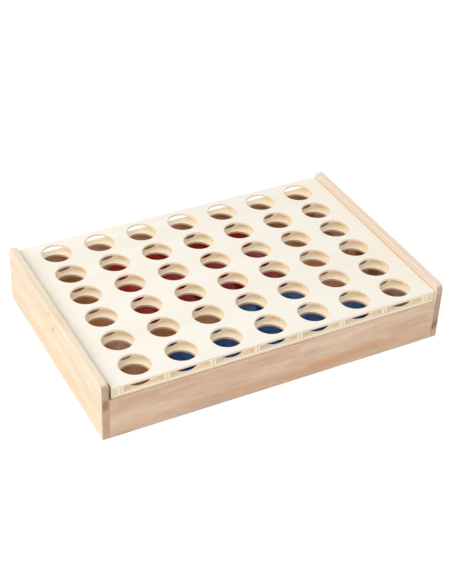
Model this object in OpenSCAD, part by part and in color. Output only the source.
// Four in a row frame: a wooden storage tray with a two-sheet playing frame
// lying on top of it and the loose counters kept underneath.
//
// Axes: +X right along the tray's long side, +Y back, towards the edge of the
// frame that is its bottom in play, +Z up. The origin is the centre of the
// tray's underside. All lengths are in millimetres.

/* [Counters] */
// Diameter of one counter
counter_d = 30; // [26:0.5:31]
// Thickness of one counter
counter_t = 5; // [3:0.5:5]
// Chamfer round a counter's edges
counter_chamfer = 0.5; // [0.2:0.1:1.2]

/* [Frame] */
// Clear width of a column between its dividers
column_w = 32.5; // [32:0.5:35]
// Thickness of a divider strip
divider_t = 4; // [3:0.5:6]
// Nominal width of the block at each end of the frame
end_block_w = 5.25; // [4:0.25:10]
// Thickness of each of the two drilled sheets
sheet_t = 2.2; // [2:0.1:4]
// Gap between the two sheets, in which the counters drop
sheet_gap = 5.6; // [5.2:0.1:7]
// Diameter of a sight hole
hole_d = 24; // [14:0.5:26]
// Distance from the top row's upper edge to the mouths of the columns
mouth_margin = 2.3; // [1:0.1:12]
// Distance from the bottom row's lower edge to the frame's bottom edge
foot_margin = 1.7; // [0:0.1:8]
// How far the lower sheet's holes lie to the right of the upper sheet's
lower_x = -1; // [-2:0.1:2]
// How far the lower sheet's holes lie behind the upper sheet's
lower_y = -2; // [-2:0.1:2]
// How far the lying frame sits to the right of the tray's centre
frame_shift = 1; // [-1:0.25:1]
// How far the lying frame sits behind the tray's centre
frame_back = 0.7; // [-1:0.1:1]

/* [Tray] */
// Total side play of the frame between the side panels
frame_play = 2.5; // [2.5:0.5:6]
// How much deeper the tray is than the frame
tray_extra = 2; // [2:0.5:8]
// Thickness of a side panel
side_t = 6; // [5:0.5:10]
// Thickness of the front and back panels
wall_t = 4; // [3.5:0.5:8]
// Height of the front and back panels
wall_h = 34.5; // [26:0.5:60]
// How far the side panels stand above the lying frame
side_rise = 5.5; // [0:0.5:12]
// Radius of the side panels' rounded upper corners
corner_r = 5.5; // [2:0.5:12]
// Thickness of the floor panel
floor_t = 3; // [2:0.5:5]
// Height of the floor panel above the tray's underside
floor_lift = 3; // [2.5:0.5:6]
// Depth of the groove that holds the floor's edge
groove = 2; // [1:0.5:2]

/* [Guides] */
// How far a guide batten stands in from the side panel
guide_w = 10; // [6:0.5:14]
// Width of a guide batten along the side panel
guide_l = 10; // [6:0.5:16]
// Clearance of the upright frame between two battens
guide_play = 0.7; // [0.3:0.1:1.5]

/* [Pins] */
// Diameter of a headless pin
pin_d = 1.2; // [1:0.1:1.4]
// Length of a headless pin
pin_l = 18; // [12:1:25]

/* [Hidden] */
$fn = 64;

touch = 0.02;          // working gap left where two loose pieces touch
cut_extra = 1;         // how far a drill runs past each face of a sheet

// Frame
columns = 7;
rows = 6;
column_pitch = column_w + divider_t;
row_pitch = counter_d; // the counters stack on each other, so rows are one counter apart
frame_w = columns*column_w + (columns + 1)*divider_t + 2*end_block_w;
top_edge = counter_d/2 + mouth_margin;   // top row's centre to the mouths
foot_edge = counter_d/2 + foot_margin;   // bottom row's centre to the bottom edge
frame_l = (rows - 1)*row_pitch + foot_edge + top_edge;
frame_t = 2*sheet_t + sheet_gap;
frame_z = wall_h + touch;
grid_y = (top_edge - foot_edge)/2;       // centre of the hole grid

// How far each strip lies to the right of its even place, since they are glued
// in by hand: the left liner (0), the six dividers, the right liner (7)
strip_offsets = [0.2, -0.7, -0.9, -1.5, -2.5, -2.2, -1.6, -1.6];
function strip_x(number) = (number - columns/2)*column_pitch + strip_offsets[number];

// Tray
tray_l = frame_l + tray_extra;
inner_w = frame_w + frame_play;
tray_w = inner_w + 2*side_t;
inner_l = tray_l - 2*wall_t;
side_h = wall_h + frame_t + side_rise;
floor_top = floor_lift + floor_t;

// Guides
guide_drop = 0.5;                        // guide tops below the front and back panels' tops
guide_h = wall_h - guide_drop - floor_top;
channel_l = frame_t + guide_play;        // between two guide battens

// Pins
pin_play = 0.02;                         // radial gap round a pin
pin_set = 1;                             // outer end's depth below the side panel's surface
pin_above_floor = 5;
pin_below_top = 8;
pin_heights = [floor_top + pin_above_floor, wall_h - pin_below_top];

// Counters: each heap has two layers of rows, alternate rows half a step along
heap_x = -52;                            // first place of an unshifted row
heap_pitch = counter_d + 6;              // between places in a row
heap_row_pitch = counter_d - 4;
heap_last_row = 2;
stray_x = 0.7;                           // most a counter lies off its place along X
stray_y = 0.4;                           // and along Y
red_back_y = inner_l/2 - 1;              // nominal back edge of each heap
blue_back_y = -2;

// Columns: layer, row from the front, first place, last place; 21 counters a heap
red_runs = [
  [0, 0, 0, 3], [0, 1, 0, 2], [0, 2, 0, 3],
  [1, 0, 0, 2], [1, 1, 0, 3], [1, 2, 0, 2]
];
blue_runs = [
  [0, 0, 0, 4], [0, 1, 0, 3], [0, 2, 2, 3],
  [1, 0, 0, 3], [1, 1, 0, 4], [1, 2, 2, 2]
];

// ---------- tray ----------
// side is -1 at the left and +1 at the right; end is -1 at the front and +1 at the back

// one pin along X, driven in through a side panel
module pin_at(side, y, z, diameter) {
  outer_x = tray_w/2 - pin_set;
  translate([side > 0 ? outer_x - pin_l : -outer_x, y, z])
    rotate([0, 90, 0])
      cylinder(d = diameter, h = pin_l, $fn = 24);
}

module pins(diameter, sides = [-1, 1], ends = [-1, 1]) {
  for (side = sides, end = ends, z = pin_heights)
    pin_at(side, end*(tray_l/2 - wall_t/2), z, diameter);
}

// the floor's own block, also cut from the four walls as their groove
module floor_block() {
  translate([-inner_w/2 - groove, -inner_l/2 - groove, floor_lift])
    cube([inner_w + 2*groove, inner_l + 2*groove, floor_t]);
}

// upright board with arcs at its two upper corners and square feet
module board_outline(width, height, radius) {
  square([width, height - radius]);
  translate([radius, 0]) square([width - 2*radius, height]);
  for (x = [radius, width - radius])
    translate([x, height - radius]) circle(radius);
}

module side_panel(side) {
  difference() {
    translate([side > 0 ? inner_w/2 : -tray_w/2, -tray_l/2, 0])
      rotate([90, 0, 90])
        linear_extrude(height = side_t) board_outline(tray_l, side_h, corner_r);
    floor_block();
    pins(pin_d + 2*pin_play, sides = [side]);
  }
}

module wall(end) {
  difference() {
    translate([-inner_w/2, end > 0 ? tray_l/2 - wall_t : -tray_l/2, 0])
      cube([inner_w, wall_t, wall_h]);
    floor_block();
    pins(pin_d + 2*pin_play, ends = [end]);
  }
}

module guide(side, end) {
  translate([side > 0 ? inner_w/2 - guide_w : -inner_w/2,
             end > 0 ? channel_l/2 : -channel_l/2 - guide_l,
             floor_top])
    cube([guide_w, guide_l, guide_h]);
}

module floor_panel() { color("sienna") floor_block(); }
module front_panel() { color("burlywood") wall(-1); }
module back_panel() { color("burlywood") wall(1); }
module left_side_panel() { color("moccasin") side_panel(-1); }
module right_side_panel() { color("moccasin") side_panel(1); }
module left_front_guide() { color("tan") guide(-1, -1); }
module left_rear_guide() { color("tan") guide(-1, 1); }
module right_front_guide() { color("tan") guide(1, -1); }
module right_rear_guide() { color("tan") guide(1, 1); }
module corner_pins() { color("silver") pins(pin_d); }

// ---------- playing frame ----------

// places a child in the frame's own axes: centre of the frame's underside
module on_frame() {
  translate([frame_shift, frame_back, frame_z]) children();
}

// hole_shift moves the holes, not the outline
module sheet(z, hole_shift = [0, 0]) {
  on_frame() translate([0, 0, z]) difference() {
    translate([-frame_w/2, -frame_l/2, 0]) cube([frame_w, frame_l, sheet_t]);
    for (column = [0:columns - 1], row = [0:rows - 1])
      translate([hole_shift[0] + (column - (columns - 1)/2)*column_pitch,
                 hole_shift[1] + grid_y + (row - (rows - 1)/2)*row_pitch,
                 -cut_extra])
        cylinder(d = hole_d, h = sheet_t + 2*cut_extra);
  }
}

// strip centred on x that runs the whole depth of the frame between the two sheets
module strip(x, width) {
  on_frame()
    translate([x - width/2, -frame_l/2, sheet_t])
      cube([width, frame_l, sheet_gap]);
}

// fills the space from the liner to the sheets' end
module end_block(side) {
  inner_x = abs(strip_x(side > 0 ? columns : 0)) + divider_t/2;
  strip(side*(inner_x + frame_w/2)/2, frame_w/2 - inner_x);
}

module divider(number) { strip(strip_x(number), divider_t); }

module upper_sheet() { color("antiquewhite") sheet(sheet_t + sheet_gap); }
module lower_sheet() { color("antiquewhite") sheet(0, [lower_x, lower_y]); }
module left_end_block() { color("wheat") end_block(-1); }
module right_end_block() { color("wheat") end_block(1); }
module left_liner() { color("navajowhite") divider(0); }
module right_liner() { color("navajowhite") divider(columns); }
module divider_1() { color("navajowhite") divider(1); }
module divider_2() { color("navajowhite") divider(2); }
module divider_3() { color("navajowhite") divider(3); }
module divider_4() { color("navajowhite") divider(4); }
module divider_5() { color("navajowhite") divider(5); }
module divider_6() { color("navajowhite") divider(6); }

// ---------- counters ----------

module counter() {
  radius = counter_d/2;
  flat_r = radius - counter_chamfer;
  rotate_extrude($fn = 72)
    polygon([[0, 0], [flat_r, 0], [radius, counter_chamfer],
             [radius, counter_t - counter_chamfer], [flat_r, counter_t], [0, counter_t]]);
}

// the sine and cosine scatter the counters a little, the same way every time
module heap(back_y, runs) {
  front_row_y = back_y - counter_d/2 - heap_last_row*heap_row_pitch;
  for (run = runs, place = [run[2]:run[3]]) {
    layer = run[0];
    row = run[1];
    half_step = 0.5*((layer + row)%2);
    translate([
      heap_x + heap_pitch*(place + half_step) + stray_x*sin(83*(7*layer + 3*row + 5*place)),
      front_row_y + heap_row_pitch*row + stray_y*cos(59*(4*layer + 5*row + 3*place)),
      floor_top + touch + layer*(counter_t + touch)
    ]) counter();
  }
}

module red_counters() { color("firebrick") heap(red_back_y, red_runs); }
module blue_counters() { color("midnightblue") heap(blue_back_y, blue_runs); }

floor_panel();
front_panel();
back_panel();
left_side_panel();
right_side_panel();
left_front_guide();
left_rear_guide();
right_front_guide();
right_rear_guide();
corner_pins();
upper_sheet();
lower_sheet();
left_end_block();
right_end_block();
left_liner();
right_liner();
divider_1();
divider_2();
divider_3();
divider_4();
divider_5();
divider_6();
red_counters();
blue_counters();
